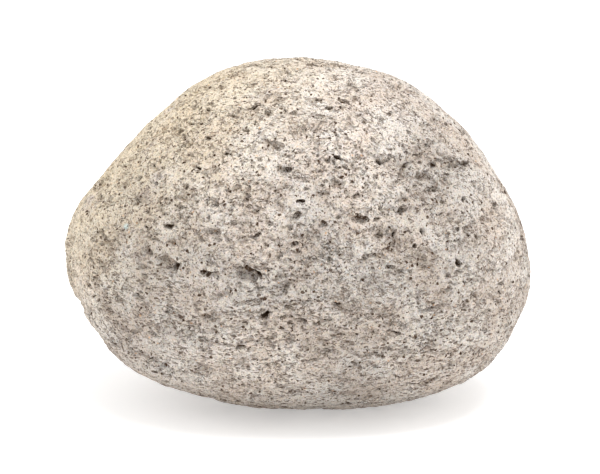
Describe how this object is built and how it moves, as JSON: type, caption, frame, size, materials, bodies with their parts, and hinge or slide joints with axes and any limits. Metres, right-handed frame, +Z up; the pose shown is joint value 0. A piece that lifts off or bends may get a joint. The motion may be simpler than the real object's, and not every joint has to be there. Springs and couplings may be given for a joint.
{
  "type": "pumice stone",
  "caption": "Tumbled pumice stone: a rounded, lopsided pebble of pale, porous volcanic rock with a small worn flat underneath that it rests on.",
  "frame": {"origin": "centre of the bounding box in plan, at the level of the worn flat that the stone rests on", "axes": "+X along the stone's length, towards its lower, blunter end; -Y towards the front face; +Z up from the flat it rests on"},
  "size_m": [0.1, 0.0814, 0.0731],
  "materials": {
    "pumice": "matte"
  },
  "bodies": {
    "root": {"pumice_stone": "pumice"}
  },
  "joints": []
}
